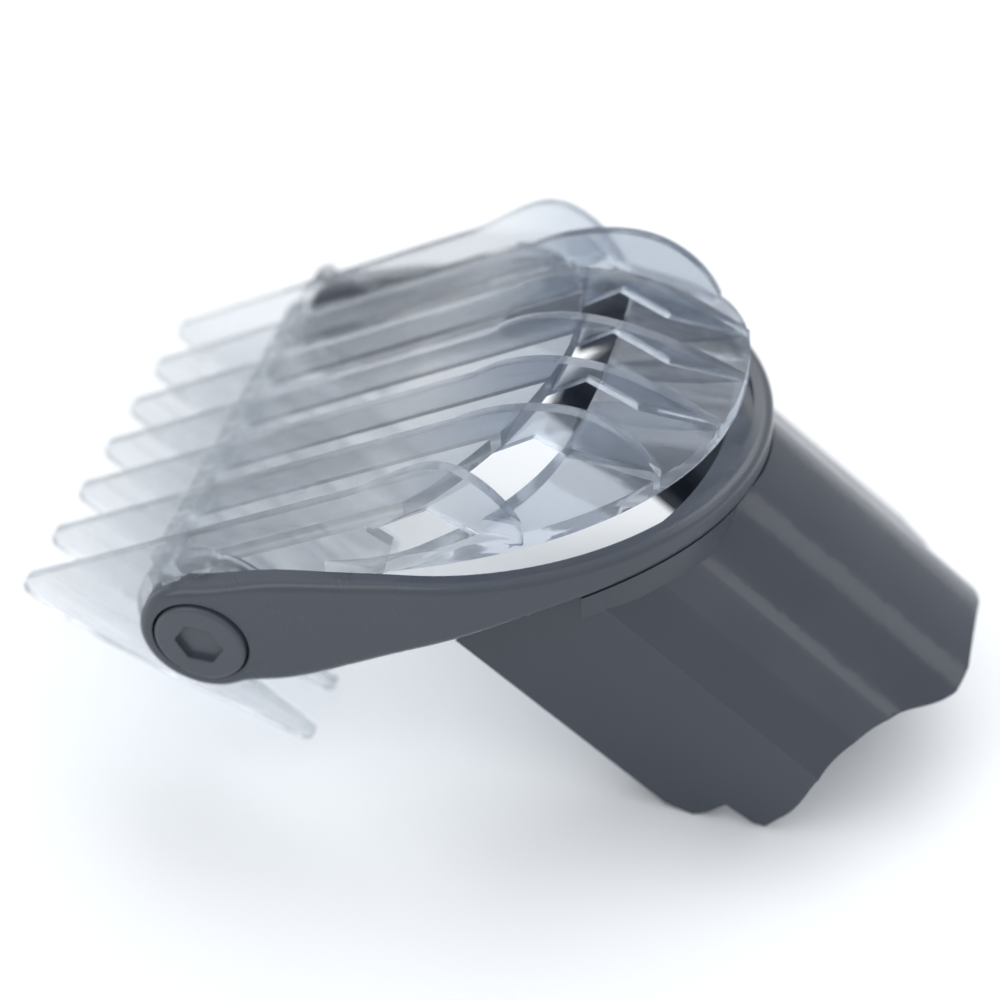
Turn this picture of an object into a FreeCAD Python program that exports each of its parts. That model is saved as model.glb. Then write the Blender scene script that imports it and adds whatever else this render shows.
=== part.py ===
"""Contour-following guard comb for a hair clipper: a clear seven-tooth comb head that rocks on two
pivot pins between the arms of a black bow, and the black slide that pushes onto the clipper's handle.

Frame: +Z up, the guard resting on its tooth heels and on the end of its slide. X is the comb's width,
-Y points to the tooth tips. The origin is the middle of the footprint, at the resting plane. The pieces
are drawn with the bow in its own level frame and are turned into the resting frame at the end."""
import FreeCAD
import Part
import math
import os

from FreeCAD import Placement, Rotation, Vector

DRIVING_SIZES = {
    "rest_tilt": 5.12,          # degrees from the drawing frame to the resting frame
    "tip_reach": 43.1,          # from the drawing frame's origin to the tooth tips
    "tooth_pitch": 6.6,
    "tooth_wall": 1.1,
    "ridge_slope": 25.6,        # degrees, the straight top edge of every tooth
    "pivot_rear": -23.5,        # Y of the rocking axis
    "pivot_height": 16.2,
    "rocking_travel": 3.8,      # degrees the teeth can lift
    "shaft_radius": 2.7,
    "shaft_play": 0.05,
    "cap_radius": 4.3,
    "cap_play": 0.25,
    "cap_seat": 1.1,
    "cap_proud": 1.2,
    "boss_swell": 0.75,         # how far the arms flare outwards at the bosses
    "hex_flats": 4.0,
    "hex_depth": 0.6,
    "boss_radius": 5.95,
    "lug_radius": 7.05,
    "tab_width": 1.8,
    "skin_depth": 2.6,          # from a tooth's ridge down to the skin between the teeth
    "skin_wall": 1.7,
    "comb_half_width": 22.3,
    "comb_rear": 20.85,
    "bow_half_width": 24.3,
    "bow_rear": 23.15,
    "bow_wall": 1.75,
    "bow_edge_round": 0.9,
    "ledge_drop": 0.9,          # from the bow's rim down to the ledge inside its rear
    "slide_slope": 42.5,        # degrees, the slide falls away from the bow
    "slide_half_width": 19.05,
    "slide_length": 39.9,
    "slide_wall": 1.7,
    "slide_edge": 21.4,         # the slide's heights are measured square to its length
    "slide_crease": 35.6,
    "slide_shoulder": 40.5,
    "slide_crown": 45.5,
    "slide_shoulder_x": 12.1,
    "rail_width": 4.6,
    "end_chamfer": 0.6,
}

TEETH = 7
TAB_ANGLE = 28.0     # degrees from straight up towards the tips, where the stop tab stands


def make_sheet(doc):
    """The driving dimensions, one named cell each."""
    sheet = doc.addObject("Spreadsheet::Sheet", "Sizes")
    for row, (alias, value) in enumerate(DRIVING_SIZES.items(), start=1):
        sheet.set(f"A{row}", alias)
        sheet.set(f"B{row}", str(value))
        sheet.setAlias(f"B{row}", alias)
    doc.recompute()
    return sheet


class Sizes:
    """Reads the sheet's cells by name."""

    def __init__(self, sheet):
        self.sheet = sheet

    def __getattr__(self, alias):
        return float(self.sheet.get(alias))


# ---------------------------------------------------------------- curves

def side(y, z):
    """A point of a side view, in the plane X = 0."""
    return Vector(0, y, z)


def spline(points):
    curve = Part.BSplineCurve()
    curve.interpolate(points)
    return curve


def spline_from(start, end, points):
    """Spline that leaves its first point along start and reaches its last along end."""
    curve = Part.BSplineCurve()
    curve.interpolate(Points=points, InitialTangent=start, FinalTangent=end)
    return curve


def polygon_edges(points):
    return [Part.LineSegment(a, b).toShape() for a, b in zip(points, points[1:])]


def closed_face(edges):
    return Part.Face(Part.Wire(Part.__sortEdges__(edges)))


def superellipse(half_width, centre, rear, power, steps=8):
    """Points of a rounded U in plan, from the side at +X round the rear to the side at -X."""
    points = []
    for step in range(2 * steps + 1):
        angle = math.pi * step / (2 * steps)
        cos, sin = math.cos(angle), math.sin(angle)
        x = half_width * math.copysign(abs(cos) ** (2 / power), cos)
        y = centre + (rear - centre) * abs(sin) ** (2 / power)
        points.append(Vector(x, y, 0))
    return points


def on_plane(points, level, slope):
    """Lifts plan points onto the plane z = level + slope * y."""
    return [Vector(p.x, p.y, level + slope * p.y) for p in points]


def plan_block(rounded, front, low, high, flare=0.0):
    """A block whose plan is a rounded rear edge closed by straight sides down to y = front, where the
    sides stand wider apart by the flare on each hand."""
    ends = sorted((vertex.Point for vertex in rounded.Vertexes), key=lambda point: point.x)
    corners = [ends[0], Vector(ends[0].x - flare, front, 0), Vector(ends[1].x + flare, front, 0), ends[1]]
    face = closed_face([rounded] + polygon_edges(corners))
    face.translate(Vector(0, 0, low))
    return face.extrude(Vector(0, 0, high - low))


def half_ellipse(half_width, centre, rear):
    """Plan of the bow's rear: half an ellipse, longer than it is wide."""
    ellipse = Part.Ellipse(Vector(0, rear, 0), Vector(half_width, centre, 0), Vector(0, centre, 0))
    return Part.ArcOfEllipse(ellipse, -math.pi / 2, math.pi / 2).toShape()


def fused(shapes):
    return shapes[0].multiFuse(shapes[1:]).removeSplitter()


# ---------------------------------------------------------------- document objects

ALONG_X = Rotation(Vector(0, 1, 0), 90)     # turns a primitive's own axis to +X


def bound(doc, kind, label, **expressions):
    """A document object whose sizes follow the sheet."""
    item = doc.addObject(kind, label)
    for name, expression in expressions.items():
        item.setExpression(name, expression)
    return item


def pivot_cylinder(doc, label, radius, start="-Sizes.bow_half_width", length="2 * Sizes.bow_half_width"):
    """A cylinder about the rocking axis, from start towards +X."""
    cylinder = bound(doc, "Part::Cylinder", label, Radius=radius, Height=length)
    cylinder.Placement = Placement(Vector(), ALONG_X)
    cylinder.setExpression("Placement.Base.x", start)
    cylinder.setExpression("Placement.Base.y", "Sizes.pivot_rear")
    cylinder.setExpression("Placement.Base.z", "Sizes.pivot_height")
    return cylinder


def cut(doc, label, base, tool):
    node = doc.addObject("Part::Cut", label)
    node.Base = base
    node.Tool = tool
    return node


# ---------------------------------------------------------------- comb head

COMB_PLAN_POWER = 2.28
COMB_PLAN_CENTRE = -11.7
COMB_EDGE_LEVEL, COMB_EDGE_SLOPE = 28.33, 0.232      # the plane of the rear shelf's outer edge
SHELF_INNER_LEVEL, SHELF_INNER_SLOPE = 29.3, 0.6     # the plane of its inner edge
SKIN_FRONT = -29.6                                   # Y where the skin between the teeth begins
OPENING_HALF, OPENING_CENTRE, OPENING_FRONT = 20.9, -11.6, 5.7      # the round rear edge of that skin
SHELF_INNER_HALF, SHELF_INNER_CENTRE, SHELF_INNER_REAR = 20.5, -8.0, 9.0    # plan of the shelf's inner edge
NOSE_RADIUS, NOSE_HEIGHT, RIDGE_START = 1.3, 14.9, 16.2     # the blunt tips, and the ridge's height over them
# Y where each tooth leaves the straight ridge, and its hump from there on, from the middle tooth outwards
HUMPS = (
    (-2.0, ((6.1, 37.9), (11.5, 37.1), (15.3, 35.8))),
    (-2.0, ((6.6, 38.1), (12.0, 37.2), (16.4, 35.2))),
    (-2.0, ((6.4, 38.1), (10.8, 37.5), (14.3, 35.0))),
    (-9.3, ((-4.6, 34.8), (-1.2, 36.0), (2.6, 34.2))),
)


def ridge_height(sizes, y):
    """Height of the teeth's straight top edge."""
    nose = -sizes.tip_reach + NOSE_RADIUS
    return RIDGE_START + math.tan(math.radians(sizes.ridge_slope)) * (y - nose)


def comb_outline(sizes):
    return superellipse(sizes.comb_half_width, COMB_PLAN_CENTRE, sizes.comb_rear, COMB_PLAN_POWER)


def rear_end(sizes, x):
    """Y of the comb's rear edge at a tooth's place across the width."""
    share = (abs(x) / sizes.comb_half_width) ** COMB_PLAN_POWER
    return COMB_PLAN_CENTRE + (sizes.comb_rear - COMB_PLAN_CENTRE) * (1 - share) ** (1 / COMB_PLAN_POWER)


def opening_front(sizes, x):
    """Y where the front skin ends at this place across the width."""
    depth = OPENING_FRONT - OPENING_CENTRE
    return OPENING_CENTRE + depth * math.sqrt(max(0.0, 1 - (x / OPENING_HALF) ** 2))


def tooth(sizes, x, hump):
    """One tooth: blunt nose, straight ridge, hump, rear end on the shelf, and the heel below."""
    start, crest_points = hump
    nose = side(-sizes.tip_reach + NOSE_RADIUS, NOSE_HEIGHT)
    slope = math.radians(sizes.ridge_slope)
    above = nose + Vector(0, -math.sin(slope), math.cos(slope)) * NOSE_RADIUS
    below = nose + Vector(0, -0.78, -0.62) * NOSE_RADIUS
    front = nose + Vector(0, -1, 0) * NOSE_RADIUS
    ridge_end = side(start, ridge_height(sizes, start))
    end = rear_end(sizes, x)
    shelf = COMB_EDGE_LEVEL + COMB_EDGE_SLOPE * end
    crest = spline([ridge_end] + [side(y, z) for y, z in crest_points] + [side(end, shelf)])
    web = sizes.skin_depth + sizes.skin_wall
    gap = opening_front(sizes, x)
    keel = [
        side(end, shelf),
        side(end, shelf - 1.0),
        side(end - 3.5, shelf - 1.0),
        side(gap + 3.5, ridge_height(sizes, gap) - web + 2.2),
        side(gap - 1.0, ridge_height(sizes, gap - 1.0) - web),
        side(SKIN_FRONT + 2.2, ridge_height(sizes, SKIN_FRONT + 2.2) - web),
        side(-28.6, 13.2),
        side(-16.3, 0.9),
    ]
    foot = [side(-17.1, 0.0), side(-17.6, 0.0)]
    heel = Part.Arc(keel[-1], side(-16.5, 0.25), foot[0]).toShape()
    sole = spline([foot[1], side(-24.0, 3.2), side(-35.6, 9.0), side(-40.0, 11.8), below])
    edges = [
        Part.Arc(below, front, above).toShape(),
        Part.LineSegment(above, ridge_end).toShape(),
        crest.toShape(),
        heel,
        sole.toShape(),
    ]
    face = closed_face(edges + polygon_edges(keel) + polygon_edges(foot))
    face.translate(Vector(x - sizes.tooth_wall / 2, 0, 0))
    return face.extrude(Vector(sizes.tooth_wall, 0, 0))


def skin(sizes, half_width):
    """The sloping skin between the teeth, with its thicker front bar, cut back to the rear opening."""
    rear = 8.0
    depth, wall = sizes.skin_depth, sizes.skin_wall
    outline = [
        side(SKIN_FRONT, ridge_height(sizes, SKIN_FRONT) - 1.4),
        side(SKIN_FRONT + 1.8, ridge_height(sizes, SKIN_FRONT + 1.8) - 1.4),
        side(SKIN_FRONT + 2.6, ridge_height(sizes, SKIN_FRONT + 2.6) - depth),
        side(rear, ridge_height(sizes, rear) - depth),
        side(rear, ridge_height(sizes, rear) - depth - wall),
        side(SKIN_FRONT + 1.8, ridge_height(sizes, SKIN_FRONT + 1.8) - depth - wall),
        side(SKIN_FRONT, ridge_height(sizes, SKIN_FRONT) - depth - wall - 0.4),
    ]
    slab = closed_face(polygon_edges(outline + outline[:1]))
    slab.translate(Vector(-half_width, 0, 0))
    slab = slab.extrude(Vector(2 * half_width, 0, 0))
    rear_edge = spline(superellipse(OPENING_HALF, OPENING_CENTRE, OPENING_FRONT, 2.0)).toShape()
    return slab.common(plan_block(rear_edge, -60, 0, 60))


def shelf(sizes):
    """The crescent shelf that closes the comb behind the opening, higher inside than at its edge."""
    outer = on_plane(comb_outline(sizes), COMB_EDGE_LEVEL, COMB_EDGE_SLOPE)
    inner = superellipse(SHELF_INNER_HALF, SHELF_INNER_CENTRE, SHELF_INNER_REAR, 3.2)
    inner = on_plane(inner, SHELF_INNER_LEVEL, SHELF_INNER_SLOPE)
    surface = Part.makeRuledSurface(spline(outer).toShape(), spline(inner).toShape())
    return surface.extrude(Vector(0, 0, -sizes.skin_wall))


def side_web(sizes, x):
    """The outer tooth's web: it carries the shelf's front end and the pivot lug."""
    outline = [
        side(-27.5, ridge_height(sizes, -27.5) - sizes.skin_depth - 0.2),
        side(-29.0, 14.0),
        side(-20.0, 9.0),
        side(-12.5, 18.5),
        side(-7.2, 23.2),
        side(-6.2, 26.6),
        side(-9.6, ridge_height(sizes, -9.6) - sizes.skin_depth - 0.2),
    ]
    face = closed_face(polygon_edges(outline + outline[:1]))
    face.translate(Vector(x - sizes.tooth_wall / 2, 0, 0))
    return face.extrude(Vector(sizes.tooth_wall, 0, 0))


def stop_tab(sizes, inner, outer, extra, floor):
    """The stop tab's block about the pivot, or with extra room on its rear side the notch it moves in."""
    tab = Part.makeBox(outer - inner, sizes.tab_width + extra, 10 - floor)
    tab.translate(Vector(inner, -sizes.tab_width / 2, floor))
    tab.rotate(Vector(0, 0, 0), Vector(1, 0, 0), TAB_ANGLE)
    tab.translate(side(sizes.pivot_rear, sizes.pivot_height))
    return tab


def both_hands(shape):
    return [shape, shape.mirror(Vector(0, 0, 0), Vector(1, 0, 0))]


def lug(sizes):
    """Round pivot lug outside the outer tooth, with its stop tab, and the short boss inside."""
    plate = outer_tooth(sizes) + sizes.tooth_wall / 2
    outer = sizes.bow_half_width - sizes.bow_wall - 0.1
    centre = side(sizes.pivot_rear, sizes.pivot_height)
    along = Vector(1, 0, 0)
    disc = Part.makeCylinder(sizes.lug_radius, outer - plate, centre + along * plate, along)
    boss = Part.makeCylinder(4.4, outer - plate + 2.5, centre + along * (plate - 2.5), along)
    reach = Part.makeCylinder(sizes.lug_radius + 0.5, 60, centre - along * 30, along)
    tab = stop_tab(sizes, plate, sizes.bow_half_width - 0.9, 0, sizes.boss_radius - 0.3).common(reach)
    return disc.multiFuse([boss, tab])


def outer_tooth(sizes):
    return TEETH // 2 * sizes.tooth_pitch


def build_comb_head(doc, sizes):
    half = TEETH // 2
    edge = outer_tooth(sizes)
    shapes = [shelf(sizes), skin(sizes, edge + sizes.tooth_wall / 2)]
    for index in range(-half, half + 1):
        shapes.append(tooth(sizes, index * sizes.tooth_pitch, HUMPS[abs(index)]))
    shapes += both_hands(side_web(sizes, edge))
    shapes += both_hands(lug(sizes))
    moulding = doc.addObject("Part::Feature", "comb_moulding")
    moulding.Shape = fused(shapes)
    bore = pivot_cylinder(doc, "comb_bore", "Sizes.shaft_radius + Sizes.shaft_play")
    return cut(doc, "comb_head", moulding, bore)


# ---------------------------------------------------------------- bow

BOW_PLAN_CENTRE = -4.1      # Y where the arms begin to curve inwards
# the arm's top and lower edges in side view, from the boss to the rear
BOW_TOP = ((-17.1, 23.85), (-11.6, 24.6), (-6.1, 25.3), (-0.6, 25.9), (4.9, 26.45), (15.9, 27.35), (24.5, 27.8))
BOW_LOWER = ((-17.2, 12.0), (-10.0, 14.9), (0.7, 19.9), (5.8, 22.0), (8.9, 22.9), (16.0, 24.2), (24.5, 24.9))
BOSS_TOP, BOSS_FRONT, BOSS_UNDER = 98, 180, 300     # degrees from +Y where the boss meets the arm's edges
ARM_LEDGE_FRONT, ARM_LEDGE_REAR = 1.0, 13.0         # Y range of the ledges along the arms
ARM_LEDGE_HEIGHT = 0.7
REAR_LEDGE_FRONT = 5.0      # in front of the place where the rear ledge meets the arms' inner faces
INNER_RADIUS, INNER_CENTRE = 26.5, -7.3     # the round inner edge of the ledge in the bow's rear


def boss_point(sizes, degrees):
    """Side-view point on the round boss, the angle turning from +Y towards +Z."""
    angle = math.radians(degrees)
    centre = side(sizes.pivot_rear, sizes.pivot_height)
    return centre + side(math.cos(angle), math.sin(angle)) * sizes.boss_radius


def bow_lower_edge(sizes):
    """The arm's lower edge in side view, from under the boss to the rear."""
    points = [boss_point(sizes, BOSS_UNDER)] + [side(y, z) for y, z in BOW_LOWER]
    return spline_from(side(0.866, 0.5), side(0.99, 0.08), points).toShape()


def bow_profile(sizes):
    """Side view of the bow: round boss in front, an arm that narrows to the rear."""
    top = [boss_point(sizes, BOSS_TOP)] + [side(y, z) for y, z in BOW_TOP]
    boss = Part.Arc(*[boss_point(sizes, degrees) for degrees in (BOSS_TOP, BOSS_FRONT, BOSS_UNDER)])
    edges = [
        boss.toShape(),
        spline_from(side(0.99, 0.139), side(0.99, 0.05), top).toShape(),
        bow_lower_edge(sizes),
    ]
    return closed_face(edges + polygon_edges([top[-1], side(*BOW_LOWER[-1])]))


def across(face, half_width):
    """Extrudes a side-view face over the full width."""
    face.translate(Vector(-half_width, 0, 0))
    return face.extrude(Vector(2 * half_width, 0, 0))


def lifted(shape, height):
    moved = shape.copy()
    moved.translate(Vector(0, 0, height))
    return moved


def arm_ledges(sizes, block):
    """Inner ledges along the arms' lower edges, which the slide's sides butt against."""
    inner = sizes.slide_half_width - sizes.slide_wall
    span = Part.makeBox(80, ARM_LEDGE_REAR - ARM_LEDGE_FRONT, 60, Vector(-40, ARM_LEDGE_FRONT, 0))
    between = Part.makeBox(2 * inner, 80, 60, Vector(-inner, -50, 0))
    return block.cut(lifted(block, ARM_LEDGE_HEIGHT)).common(span).cut(between)


def round_opening(low, high):
    """The round opening inside the bow's rear ledge."""
    return Part.makeCylinder(INNER_RADIUS, high - low, Vector(0, INNER_CENTRE, low))


def collar_opening(sizes, low, high):
    """The same opening in the slide's collar, no wider than the slide's own inside."""
    half = sizes.slide_half_width - sizes.slide_wall
    return round_opening(low, high).common(Part.makeBox(2 * half, 100, high - low, Vector(-half, -50, low)))


def rear_ledge(sizes, block):
    """The ledge inside the bow's rear, a little below the rim."""
    front = Part.makeBox(80, 60, 60, Vector(-40, REAR_LEDGE_FRONT - 60, 0))
    ledge = block.common(lifted(block, -sizes.ledge_drop))
    return ledge.cut(round_opening(0, 60)).cut(front)


def rounded_outside(body, sizes):
    """Rounds the long outer edges of the arms and of the rear belt."""
    half, reach = sizes.bow_half_width, sizes.bow_rear - BOW_PLAN_CENTRE

    def on_outer_face(edge):
        middle = edge.valueAt((edge.FirstParameter + edge.LastParameter) / 2)
        return math.hypot(middle.x / half, max(0.0, middle.y - BOW_PLAN_CENTRE) / reach) > 0.99

    edges = [edge for edge in body.Edges if edge.BoundBox.YLength > 4 and on_outer_face(edge)]
    return body.makeFillet(sizes.bow_edge_round, edges)


def tab_notches(sizes):
    """The notches in the bosses' rims in which the comb's stop tabs move."""
    half = sizes.bow_half_width
    travel = math.radians(sizes.rocking_travel) * (sizes.boss_radius + 1.2)
    notch = stop_tab(sizes, half - sizes.bow_wall - 0.5, half - 0.8, travel + 0.3, sizes.boss_radius - 0.4)
    notch.rotate(side(sizes.pivot_rear, sizes.pivot_height), Vector(1, 0, 0), 0.8)
    return both_hands(notch)


def bow_moulding(sizes):
    half, wall = sizes.bow_half_width, sizes.bow_wall
    outer = half_ellipse(half, BOW_PLAN_CENTRE, sizes.bow_rear)
    inner = half_ellipse(half - wall, BOW_PLAN_CENTRE, sizes.bow_rear - wall)
    core = plan_block(inner, -45, -1, 61)
    front = -40     # well in front of the bosses, so that the flare reaches its full swell at the pivot
    flare = sizes.boss_swell * (front - BOW_PLAN_CENTRE) / (sizes.pivot_rear - BOW_PLAN_CENTRE)
    ring = plan_block(outer, front, 0, 60, flare).cut(core)
    block = across(bow_profile(sizes), half + 5)
    belt = rounded_outside(block.common(ring), sizes)
    ledges = [arm_ledges(sizes, block).common(core), rear_ledge(sizes, block).common(core)]
    return belt.multiFuse(ledges).cut(tab_notches(sizes)).removeSplitter()


def build_bow(doc, sizes):
    moulding = doc.addObject("Part::Feature", "bow_moulding")
    moulding.Shape = bow_moulding(sizes)
    cap_seat = "Sizes.cap_radius + Sizes.cap_play"
    bores = doc.addObject("Part::MultiFuse", "bow_bores")
    bores.Shapes = [
        pivot_cylinder(doc, "shaft_bore", "Sizes.shaft_radius"),
        pivot_cylinder(doc, "near_cap_seat", cap_seat, "Sizes.bow_half_width - Sizes.cap_seat", "5"),
        pivot_cylinder(doc, "far_cap_seat", cap_seat, "Sizes.cap_seat - 5 - Sizes.bow_half_width", "5"),
    ]
    return cut(doc, "bow", moulding, bores)


# ---------------------------------------------------------------- slide

COLLAR_FRONT, COLLAR_INSET = 10.5, 0.3
SEAM = 0.03                 # play between the slide and the bow's lower edge
SLIDE_ORIGIN_Y = -17.08     # where the slide's own length axis starts, on the resting plane
SLIDE_START = 1.35          # along that axis
RIDGE_RISE = 0.5            # the soft ridge along the middle of each sloping shoulder
# the crown's flank from the shoulder up, as shares of the shoulder's half width and of the crown's rise
CROWN_FLANK = ((0.86, 0.16), (0.62, 0.6), (0.33, 0.91))


def slide_frame(sizes, shape):
    """Takes a shape from the slide's own frame (y along its length, z square to it) into the part."""
    shape.rotate(Vector(0, 0, 0), Vector(1, 0, 0), -sizes.slide_slope)
    shape.translate(Vector(0, SLIDE_ORIGIN_Y, 0))
    return shape


def slide_section(sizes, inset, bottom):
    """Cross-section: upright sides, sloping shoulders, and the round crown for the handle's back."""
    half = sizes.slide_half_width - inset
    shoulder_x = sizes.slide_shoulder_x - inset * 0.45
    crease, shoulder, crown = (
        level - inset for level in (sizes.slide_crease, sizes.slide_shoulder, sizes.slide_crown)
    )
    right = [
        Vector(half, 0, bottom),
        Vector(half, 0, crease),
        Vector((half + shoulder_x) / 2, 0, (crease + shoulder) / 2 + RIDGE_RISE),
        Vector(shoulder_x, 0, shoulder),
    ]
    left = [Vector(-p.x, 0, p.z) for p in reversed(right)]
    rise = crown - shoulder
    flank = [Vector(shoulder_x * x, 0, shoulder + rise * z) for x, z in CROWN_FLANK]
    crown_points = [right[-1]] + flank + [Vector(0, 0, crown)]
    crown_points += [Vector(-p.x, 0, p.z) for p in reversed(flank)] + [left[0]]
    crown_curve = spline(crown_points).toShape()
    return closed_face([crown_curve] + polygon_edges(right) + polygon_edges(left + right[:1]))


# the slide's end from its lower edge upwards: two feet on each side with a notch between them
FEET = ((27.0, 21.4), (29.5, 22.45), (30.0, 23.6), (30.4, 26.0), (33.6, 26.35), (34.5, 26.95), (34.5, 28.9))
# then the sweep up the shoulder to the tongue
SWEEP = ((34.5, 28.9), (34.3, 31.3), (33.5, 33.8), (32.95, 36.0), (33.6, 38.3), (35.4, 40.3), (37.7, 41.8))


def end_cut(sizes):
    """Everything beyond the slide's end, seen from the side."""
    tongue = sizes.slide_length
    points = [side(24.0, sizes.slide_edge - 3)] + [side(*point) for point in FEET]
    sweep = [side(*point) for point in SWEEP] + [side(tongue, 43.8)]
    outside = [
        sweep[-1],
        side(tongue, sizes.slide_crown - sizes.end_chamfer),
        side(tongue - sizes.end_chamfer, sizes.slide_crown),
        side(tongue, sizes.slide_crown + 8),
        side(80, sizes.slide_crown + 8),
        side(80, sizes.slide_edge - 3),
        points[0],
    ]
    return closed_face([spline(sweep).toShape()] + polygon_edges(points) + polygon_edges(outside))


def collar(sizes):
    """The ring under the bow's rear belt that the slide grows out of."""
    rear = sizes.bow_rear - COLLAR_INSET
    half = sizes.bow_half_width - COLLAR_INSET
    ring = plan_block(half_ellipse(half, BOW_PLAN_CENTRE, rear), -10, 21.0, 30.0)
    return ring.common(Part.makeBox(80, 60, 60, Vector(-40, COLLAR_FRONT, 0)))


def below_bow(sizes):
    """The room under the bow's lower edge."""
    first, last = boss_point(sizes, BOSS_UNDER), side(*BOW_LOWER[-1])
    corners = [last, last + side(40, 3), side(last.y + 40, -60), side(first.y, -60), first]
    face = closed_face([bow_lower_edge(sizes)] + polygon_edges(corners))
    return lifted(across(face, 60), -SEAM)


def build_slide(doc, sizes):
    wall = sizes.slide_wall
    reach = 60
    start = Vector(0, SLIDE_START, 0)
    outer = slide_section(sizes, 0, sizes.slide_edge)
    outer.translate(start)
    outer = outer.extrude(Vector(0, reach, 0))
    inner = slide_section(sizes, wall, sizes.slide_edge + wall)
    inner.translate(Vector(0, -reach, 0))
    inner = inner.extrude(Vector(0, 2 * reach, 0))
    mouth_half = sizes.slide_half_width - sizes.rail_width
    mouth = Part.makeBox(2 * mouth_half, 2 * reach, 10, Vector(-mouth_half, -reach, sizes.slide_edge - 5))
    beyond = across(end_cut(sizes), reach)
    trimmed = slide_frame(sizes, outer.cut(beyond))
    hollow = slide_frame(sizes, inner.fuse(mouth))
    shell = trimmed.fuse(collar(sizes)).cut(hollow).cut(collar_opening(sizes, 18.0, 60.0))
    shell = shell.common(below_bow(sizes))
    node = doc.addObject("Part::Feature", "slide")
    node.Shape = max(shell.Solids, key=lambda solid: solid.Volume)
    return node


# ---------------------------------------------------------------- pivot pins

HEX_TURN = 26.0      # degrees, how each pin's hexagon stands
CAP_ROUND = 0.4
PIN_TIP = 18.4       # from the middle of the comb to the shaft's inner end
TIP_TAPER = 0.4


def rounded_cap(doc, label):
    """The pin's cap with its outer rim rounded."""
    cap = bound(
        doc, "Part::Cylinder", label + "_cap",
        Radius="Sizes.cap_radius", Height="Sizes.cap_seat + Sizes.cap_proud",
    )
    cap.setExpression("Placement.Base.z", "Sizes.bow_half_width - Sizes.cap_seat")
    doc.recompute()
    top = max(range(3), key=lambda index: cap.Shape.Edges[index].BoundBox.ZMin)
    rounded = doc.addObject("Part::Fillet", label + "_rounded_cap")
    rounded.Base = cap
    rounded.Edges = [(top + 1, CAP_ROUND, CAP_ROUND)]
    return rounded


def build_pin(doc, sizes, label, hand):
    """Pivot pin: tapered tip, shaft, round cap seated in the bow's boss, hexagon recess in the cap."""
    tip = bound(
        doc, "Part::Cone", label + "_tip",
        Radius1=f"Sizes.shaft_radius - {TIP_TAPER}", Radius2="Sizes.shaft_radius", Height=str(TIP_TAPER),
    )
    tip.Placement.Base.z = PIN_TIP
    shaft = bound(
        doc, "Part::Cylinder", label + "_shaft",
        Radius="Sizes.shaft_radius", Height=f"Sizes.bow_half_width - {PIN_TIP + TIP_TAPER}",
    )
    shaft.Placement.Base.z = PIN_TIP + TIP_TAPER
    turned = doc.addObject("Part::MultiFuse", label + "_turned")
    turned.Shapes = [tip, shaft, rounded_cap(doc, label)]
    hexagon = bound(
        doc, "Part::Prism", label + "_hexagon",
        Circumradius="Sizes.hex_flats / sqrt(3)", Height="Sizes.hex_depth + 1",
    )
    hexagon.Polygon = 6
    hexagon.Placement = Placement(Vector(), Rotation(Vector(0, 0, 1), HEX_TURN))
    hexagon.setExpression("Placement.Base.z", "Sizes.bow_half_width + Sizes.cap_proud - Sizes.hex_depth")
    pin = cut(doc, label, turned, hexagon)
    pivot = side(sizes.pivot_rear, sizes.pivot_height)
    pin.Placement = Placement(pivot, Rotation(Vector(0, 1, 0), 90 * hand))
    return pin


# ---------------------------------------------------------------- the part

HEEL = side(-17.35, 0.0)                    # where the teeth's heels touch the resting plane
REST_SHIFT = Vector(0, 1.22, 0.022)           # brings the origin to the middle of the footprint


def bring_to_rest(sizes, nodes):
    """Turns the pieces about the heels until the slide's end rests too."""
    turn = Placement(REST_SHIFT, Rotation(Vector(1, 0, 0), sizes.rest_tilt), HEEL)
    for node in nodes:
        node.Placement = turn.multiply(node.Placement)


def check(doc, nodes):
    """Stops when any object failed to recompute or a piece isn't one valid solid."""
    for item in doc.Objects:
        if "Invalid" in item.State or "Error" in item.State:
            raise RuntimeError(f"{item.Label} failed: {item.State}")
    for node in nodes:
        if node.Shape.isNull() or not node.Shape.isValid() or len(node.Shape.Solids) != 1:
            raise RuntimeError(f"{node.Label} is not one valid solid")


def main():
    doc = FreeCAD.newDocument("guard_comb")
    sizes = Sizes(make_sheet(doc))
    nodes = [
        build_comb_head(doc, sizes),
        build_bow(doc, sizes),
        build_slide(doc, sizes),
        build_pin(doc, sizes, "near_pivot_pin", 1),
        build_pin(doc, sizes, "far_pivot_pin", -1),
    ]
    doc.recompute()
    bring_to_rest(sizes, nodes)
    doc.recompute()
    check(doc, nodes)
    os.makedirs("parts", exist_ok=True)
    for node in nodes:
        node.Shape.exportStep(f"parts/{node.Label}.step")


main()
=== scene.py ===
import math

import bpy
from mathutils import Matrix, Vector


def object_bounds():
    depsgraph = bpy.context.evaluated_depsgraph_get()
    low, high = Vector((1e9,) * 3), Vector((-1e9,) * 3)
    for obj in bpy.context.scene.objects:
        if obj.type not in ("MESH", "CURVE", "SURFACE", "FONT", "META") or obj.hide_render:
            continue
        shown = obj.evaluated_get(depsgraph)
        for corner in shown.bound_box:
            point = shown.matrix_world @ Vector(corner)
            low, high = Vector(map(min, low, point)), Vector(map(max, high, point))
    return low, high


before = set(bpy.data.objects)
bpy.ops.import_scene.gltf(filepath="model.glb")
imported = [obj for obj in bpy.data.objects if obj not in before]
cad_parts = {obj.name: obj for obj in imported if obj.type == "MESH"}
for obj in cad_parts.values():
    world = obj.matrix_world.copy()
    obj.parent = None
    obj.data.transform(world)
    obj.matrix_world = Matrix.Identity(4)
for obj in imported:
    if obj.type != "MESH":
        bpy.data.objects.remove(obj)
SIZE_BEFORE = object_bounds()

LOW, HIGH = SIZE_BEFORE
CENTRE = (LOW + HIGH) / 2
MILLIMETRE = 0.001


# ---------------------------------------------------------------- node helpers

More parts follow.
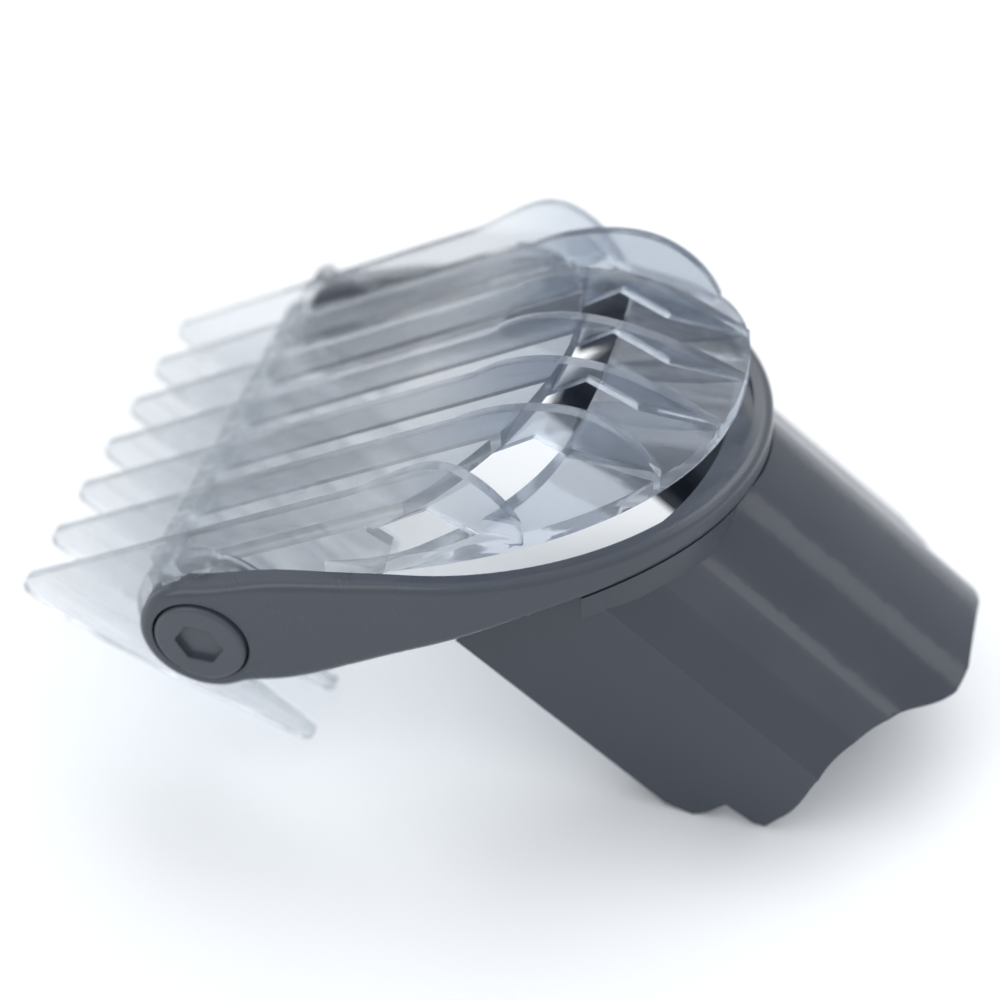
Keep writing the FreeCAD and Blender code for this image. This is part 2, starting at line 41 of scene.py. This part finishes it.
def new_material(name):
    material = bpy.data.materials.new(name)
    material.use_nodes = True
    tree = material.node_tree
    tree.nodes.clear()
    return material, tree


def add(tree, kind, **settings):
    """A node with its input sockets set by name; underscores stand for the spaces."""
    node = tree.nodes.new(kind)
    for name, value in settings.items():
        node.inputs[name.replace("_", " ")].default_value = value
    return node


def link(tree, a, out, b, into):
    tree.links.new(a.outputs[out], b.inputs[into])


def noise(tree, place, scale, detail=2.0):
    node = add(tree, "ShaderNodeTexNoise", Scale=scale, Detail=detail)
    link(tree, place, "Object", node, "Vector")
    return node


def map_range(tree, source, out, from_range, to_range):
    """Maps a node's output from one range of values onto another."""
    node = add(
        tree, "ShaderNodeMapRange",
        From_Min=from_range[0], From_Max=from_range[1], To_Min=to_range[0], To_Max=to_range[1],
    )
    link(tree, source, out, node, "Value")
    return node


def colour_mix(tree, factor, out, first, second):
    node = tree.nodes.new("ShaderNodeMix")
    node.data_type = "RGBA"
    node.inputs["A"].default_value = (*first, 1)
    node.inputs["B"].default_value = (*second, 1)
    link(tree, factor, out, node, "Factor")
    return node


def mixed(tree, share, first, second, out="BSDF"):
    """Mixes two shaders; share is how much of the second shows."""
    mix = add(tree, "ShaderNodeMixShader", Fac=share)
    tree.links.new(first.outputs[out], mix.inputs[1])
    tree.links.new(second.outputs["BSDF"], mix.inputs[2])
    return mix


# ---------------------------------------------------------------- materials

NOISE_MIDDLE = (0.3, 0.7)       # the range most of a noise's values lie in
LIGHTER = 1.18                  # the lighter clouds in a black moulding, against its own tone


def black_plastic(name, tone, glossiest, dullest):
    """Polished black moulding: slow ripples and cloudy gloss from the mould, and a very fine grain."""
    material, tree = new_material(name)
    out = tree.nodes.new("ShaderNodeOutputMaterial")
    shader = add(tree, "ShaderNodeBsdfPrincipled")
    link(tree, shader, "BSDF", out, "Surface")
    place = tree.nodes.new("ShaderNodeTexCoord")
    cloud = noise(tree, place, 140, 4)
    gloss = map_range(tree, cloud, "Fac", NOISE_MIDDLE, (glossiest, dullest))
    link(tree, gloss, "Result", shader, "Roughness")
    tint = colour_mix(tree, cloud, "Fac", tone, [channel * LIGHTER for channel in tone])
    link(tree, tint, "Result", shader, "Base Color")
    ripple = add(tree, "ShaderNodeBump", Strength=0.25, Distance=0.02 * MILLIMETRE)
    link(tree, noise(tree, place, 160, 1), "Fac", ripple, "Height")
    grain = add(tree, "ShaderNodeBump", Strength=0.12, Distance=0.004 * MILLIMETRE)
    link(tree, noise(tree, place, 5000), "Fac", grain, "Height")
    link(tree, ripple, "Normal", grain, "Normal")
    link(tree, grain, "Normal", shader, "Normal")
    return material


STRAIGHT_SHARE = 0.32           # how much of the light goes straight through the thin walls
HAZE_SHARE = 0.045
SMOKE_DENSITY = 130.0           # per metre of clear moulding
PAINTED_SHADE_BEGINS = (0.52, 0.76)      # shares of the comb's length between which the painted shade on its rear comes in


def clear_plastic(name):
    """Smoky clear moulding: part of the light bends in it and part goes straight through its thin
    walls; both get darker with the thickness they pass, and both carry painted shade that darkens the
    comb's rear."""
    material, tree = new_material(name)
    out = tree.nodes.new("ShaderNodeOutputMaterial")
    place = tree.nodes.new("ShaderNodeTexCoord")
    bent = add(tree, "ShaderNodeBsdfPrincipled", Transmission_Weight=1.0, IOR=1.45)
    # the bent and the straight light both carry painted shade that darkens the comb's rear
    bent_painted_shade = rear_painted_shade(tree, place, (0.98, 0.99, 1.0), (0.84, 0.87, 0.92))
    link(tree, bent_painted_shade, "Result", bent, "Base Color")
    gloss = map_range(tree, noise(tree, place, 90, 3), "Fac", NOISE_MIDDLE, (0.03, 0.1))
    link(tree, gloss, "Result", bent, "Roughness")
    flow = add(tree, "ShaderNodeBump", Strength=0.12, Distance=0.01 * MILLIMETRE)
    link(tree, noise(tree, place, 220, 2), "Fac", flow, "Height")
    link(tree, flow, "Normal", bent, "Normal")
    straight = add(tree, "ShaderNodeBsdfTransparent")
    straight_painted_shade = rear_painted_shade(tree, place, (0.975, 0.98, 0.985), (0.64, 0.69, 0.76))
    link(tree, straight_painted_shade, "Result", straight, "Color")
    haze = add(tree, "ShaderNodeBsdfDiffuse", Color=(0.3, 0.33, 0.38, 1))
    walls = mixed(tree, STRAIGHT_SHARE, bent, straight)
    veiled = mixed(tree, HAZE_SHARE, walls, haze, "Shader")
    pale_shadow = add(tree, "ShaderNodeBsdfTransparent", Color=(0.97, 0.98, 0.99, 1))
    final = mixed(tree, 0, veiled, pale_shadow, "Shader")
    link(tree, tree.nodes.new("ShaderNodeLightPath"), "Is Shadow Ray", final, "Fac")
    link(tree, final, "Shader", out, "Surface")
    smoke = add(tree, "ShaderNodeVolumeAbsorption", Color=(0.575, 0.6, 0.63, 1), Density=SMOKE_DENSITY)
    link(tree, smoke, "Volume", out, "Volume")
    return material


def rear_painted_shade(tree, place, front, rear):
    """Painted shade: a colour that goes from the front one to the darker rear one where the ribs'
    humps and the shelf begin.
    """
    parts = tree.nodes.new("ShaderNodeSeparateXYZ")
    link(tree, place, "Generated", parts, "Vector")
    share = map_range(tree, parts, "Y", PAINTED_SHADE_BEGINS, (0, 1))
    share.interpolation_type = "SMOOTHSTEP"
    return colour_mix(tree, share, "Result", front, rear)


# ---------------------------------------------------------------- the moulded pieces

WELD_REACH = 0.002 * MILLIMETRE
FLAT_ANGLE = math.radians(0.4)      # faces that differ by less are one flat face
BEVEL_ANGLE = math.radians(32)      # edges sharper than this are rounded
SMOOTH_ANGLE = math.radians(24)     # edges sharper than this stay sharp in the shading


def soft_edges(piece, width):
    """Rounds the moulding's edges by this width and shades its curved faces smooth."""
    weld = piece.modifiers.new("weld", "WELD")
    weld.merge_threshold = WELD_REACH
    flat = piece.modifiers.new("flat_faces", "DECIMATE")
    flat.decimate_type = "DISSOLVE"
    flat.angle_limit = FLAT_ANGLE
    bevel = piece.modifiers.new("rounded_edges", "BEVEL")
    bevel.width = width
    bevel.segments = 2
    bevel.limit_method = "ANGLE"
    bevel.angle_limit = BEVEL_ANGLE
    bevel.miter_outer = "MITER_ARC"
    smooth = piece.modifiers.new("smooth", "NODES")
    smooth.node_group = smoothing_group()
    faces_first = piece.modifiers.new("faces_first", "WEIGHTED_NORMAL")
    faces_first.keep_sharp = True
    faces_first.weight = 80


def smoothing_group():
    """Geometry nodes that shade every face smooth and keep only the edges above the angle sharp."""
    if "smooth_by_angle" in bpy.data.node_groups:
        return bpy.data.node_groups["smooth_by_angle"]
    group = bpy.data.node_groups.new("smooth_by_angle", "GeometryNodeTree")
    group.interface.new_socket("Geometry", in_out="INPUT", socket_type="NodeSocketGeometry")
    group.interface.new_socket("Geometry", in_out="OUTPUT", socket_type="NodeSocketGeometry")
    start = group.nodes.new("NodeGroupInput")
    end = group.nodes.new("NodeGroupOutput")
    faces = group.nodes.new("GeometryNodeSetShadeSmooth")
    faces.domain = "FACE"
    faces.inputs["Shade Smooth"].default_value = True
    angle = group.nodes.new("GeometryNodeInputMeshEdgeAngle")
    steep = group.nodes.new("FunctionNodeCompare")
    steep.operation = "GREATER_THAN"
    steep.inputs["B"].default_value = SMOOTH_ANGLE
    edges = group.nodes.new("GeometryNodeSetShadeSmooth")
    edges.domain = "EDGE"
    edges.inputs["Shade Smooth"].default_value = False
    link(group, start, "Geometry", faces, "Geometry")
    link(group, angle, "Unsigned Angle", steep, "A")
    link(group, faces, "Geometry", edges, "Geometry")
    link(group, steep, "Result", edges, "Selection")
    link(group, edges, "Geometry", end, "Geometry")
    return group


def finish_piece(name, material, edge):
    """Gives a piece its material and its edge width in millimetres."""
    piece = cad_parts[name]
    piece.data.materials.clear()
    piece.data.materials.append(material)
    soft_edges(piece, edge * MILLIMETRE)


# ---------------------------------------------------------------- stage

def direction(azimuth, elevation):
    """From the object towards a viewer at this azimuth and elevation, in degrees."""
    a, e = math.radians(azimuth), math.radians(elevation)
    return Vector((math.sin(a) * math.cos(e), -math.cos(a) * math.cos(e), math.sin(e)))


FLOOR_REACH = 3.0
FLOOR_GAP = 0.05 * MILLIMETRE       # keeps the floor off the heels' undersides


def pale_floor():
    mesh = bpy.data.meshes.new("floor")
    corners = [(-1, -1), (1, -1), (1, 1), (-1, 1)]
    mesh.from_pydata([(x * FLOOR_REACH, y * FLOOR_REACH, 0) for x, y in corners], [], [(0, 1, 2, 3)])
    floor = bpy.data.objects.new("floor", mesh)
    bpy.context.scene.collection.objects.link(floor)
    floor.location.z = LOW.z - FLOOR_GAP
    material, tree = new_material("pale_floor")
    out = tree.nodes.new("ShaderNodeOutputMaterial")
    shader = add(tree, "ShaderNodeBsdfPrincipled", Base_Color=(0.84, 0.86, 0.88, 1), Roughness=0.5)
    link(tree, shader, "BSDF", out, "Surface")
    mesh.materials.append(material)


CEILING = 0.85      # height on the unit sphere from where the surroundings are brightest


def soft_world(low, high):
    """White surroundings that brighten from the horizon to the ceiling, for soft reflections."""
    world = bpy.data.worlds.new("studio")
    bpy.context.scene.world = world
    world.use_nodes = True
    tree = world.node_tree
    tree.nodes.clear()
    out = tree.nodes.new("ShaderNodeOutputWorld")
    sky = add(tree, "ShaderNodeBackground", Color=(0.97, 0.985, 1.0, 1))
    place = tree.nodes.new("ShaderNodeTexCoord")
    parts = tree.nodes.new("ShaderNodeSeparateXYZ")
    link(tree, place, "Generated", parts, "Vector")
    rise = map_range(tree, parts, "Z", (0, CEILING), (low, high))
    link(tree, rise, "Result", sky, "Strength")
    link(tree, sky, "Background", out, "Surface")


def softbox(name, azimuth, elevation, distance, size, power):
    """A rectangular lamp that faces the object's centre."""
    light = bpy.data.lights.new(name, "AREA")
    light.shape = "RECTANGLE"
    light.size, light.size_y = size
    light.energy = power
    lamp = bpy.data.objects.new(name, light)
    bpy.context.scene.collection.objects.link(lamp)
    back = direction(azimuth, elevation)
    lamp.location = CENTRE + back * distance
    lamp.rotation_euler = back.to_track_quat("Z", "Y").to_euler()


CAMERA_AZIMUTH, CAMERA_ELEVATION, CAMERA_ROLL = 103.66, 42.39, 2.04     # degrees
CAMERA_DISTANCE = 0.2138
CAMERA_AIM = CENTRE + Vector((5.0, -1.54, 0.25)) * MILLIMETRE
SHARP_NEARER = 0.016                # the near boss is sharp, this much nearer than the aim


def camera():
    """The camera close over the near side, with the far teeth out of focus."""
    back = direction(CAMERA_AZIMUTH, CAMERA_ELEVATION)
    lens = bpy.data.cameras.new("camera")
    lens.lens = 83.33
    lens.sensor_width = 36
    lens.shift_y = 0.005
    lens.clip_start = 0.01
    view = bpy.data.objects.new("camera", lens)
    bpy.context.scene.collection.objects.link(view)
    azimuth, roll = math.radians(CAMERA_AZIMUTH), math.radians(CAMERA_ROLL)
    right = Vector((math.cos(azimuth), math.sin(azimuth), 0))
    up = back.cross(right)
    c, s = math.cos(roll), math.sin(roll)
    right, up = c * right + s * up, c * up - s * right
    turn = Matrix((right, up, back)).transposed().to_4x4()
    view.matrix_world = Matrix.Translation(CAMERA_AIM + back * CAMERA_DISTANCE) @ turn
    sharp = bpy.data.objects.new("focus_point", None)
    sharp.location = CAMERA_AIM + back * SHARP_NEARER
    bpy.context.scene.collection.objects.link(sharp)
    lens.dof.use_dof = True
    lens.dof.focus_object = sharp
    lens.dof.aperture_fstop = 16
    bpy.context.scene.camera = view


# ---------------------------------------------------------------- the scene

CLEAR = clear_plastic("smoky_clear_moulding")
BOW_BLACK = black_plastic("bow_moulding", (0.044, 0.052, 0.068), 0.2, 0.3)
SLIDE_BLACK = black_plastic("slide_moulding", (0.034, 0.041, 0.056), 0.14, 0.22)
PIN_BLACK = black_plastic("pin_moulding", (0.05, 0.058, 0.074), 0.26, 0.38)
finish_piece("comb_head", CLEAR, 0.12)
finish_piece("bow", BOW_BLACK, 0.15)
finish_piece("slide", SLIDE_BLACK, 0.2)
finish_piece("near_pivot_pin", PIN_BLACK, 0.1)
finish_piece("far_pivot_pin", PIN_BLACK, 0.1)

pale_floor()
soft_world(0.72, 1.05)
softbox("key", 252, 52, 0.7, (0.8, 0.4), 2.0)
softbox("streak", 184, 36, 0.6, (0.2, 0.4), 0.26)
softbox("side", 40, 35, 0.6, (0.25, 0.5), 0.5)
camera()
bpy.context.scene.view_settings.view_transform = "Standard"
